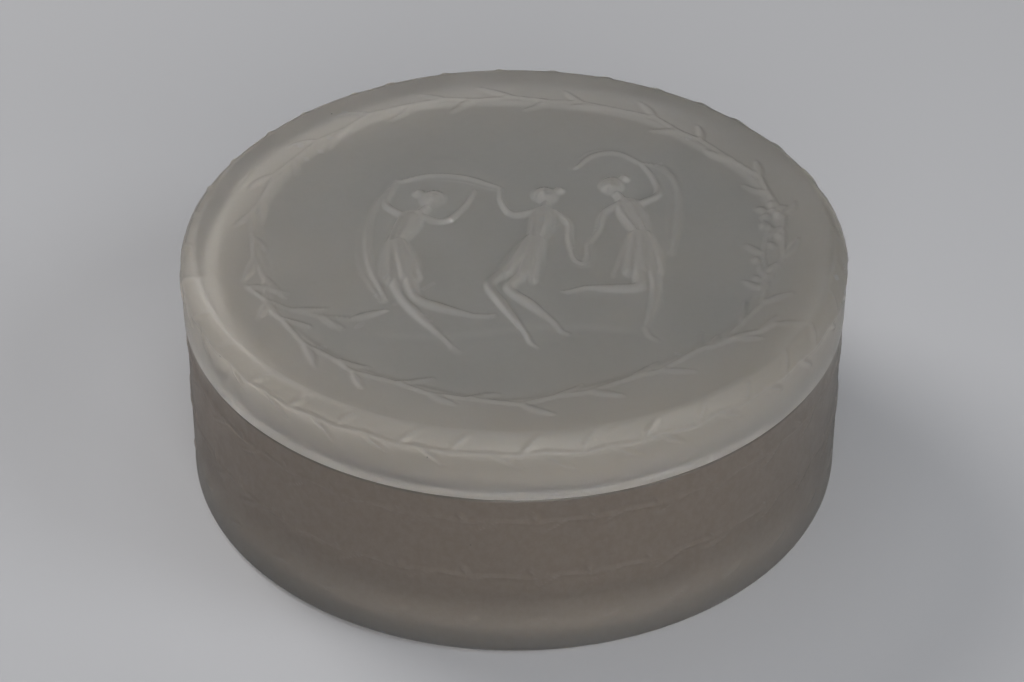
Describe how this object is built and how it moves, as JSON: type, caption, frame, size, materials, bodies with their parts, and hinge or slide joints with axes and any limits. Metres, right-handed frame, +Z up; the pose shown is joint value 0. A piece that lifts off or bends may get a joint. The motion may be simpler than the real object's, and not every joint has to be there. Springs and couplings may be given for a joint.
{
  "type": "lidded glass dish",
  "caption": "Round satin-glass vanity dish with a loose lid that drops over a collar, for holding powder, liquid or trinkets.",
  "frame": {"origin": "centre of the round foot, on the plane that the foot rests on", "axes": "+Z up along the axis of the round dish and lid; -Y towards the front of the figures on the lid"},
  "size_m": [0.096, 0.096, 0.0373],
  "materials": {
    "dish_glass": "satin",
    "lid_glass": "satin"
  },
  "bodies": {
    "dish": {"dish": "dish_glass"},
    "lid": {"lid": "lid_glass"}
  },
  "joints": [
    {"name": "lid_lift", "type": "slide", "parent": "dish", "child": "lid", "axis": [0, 0, 1], "range_m": [0, 0.06]}
  ]
}
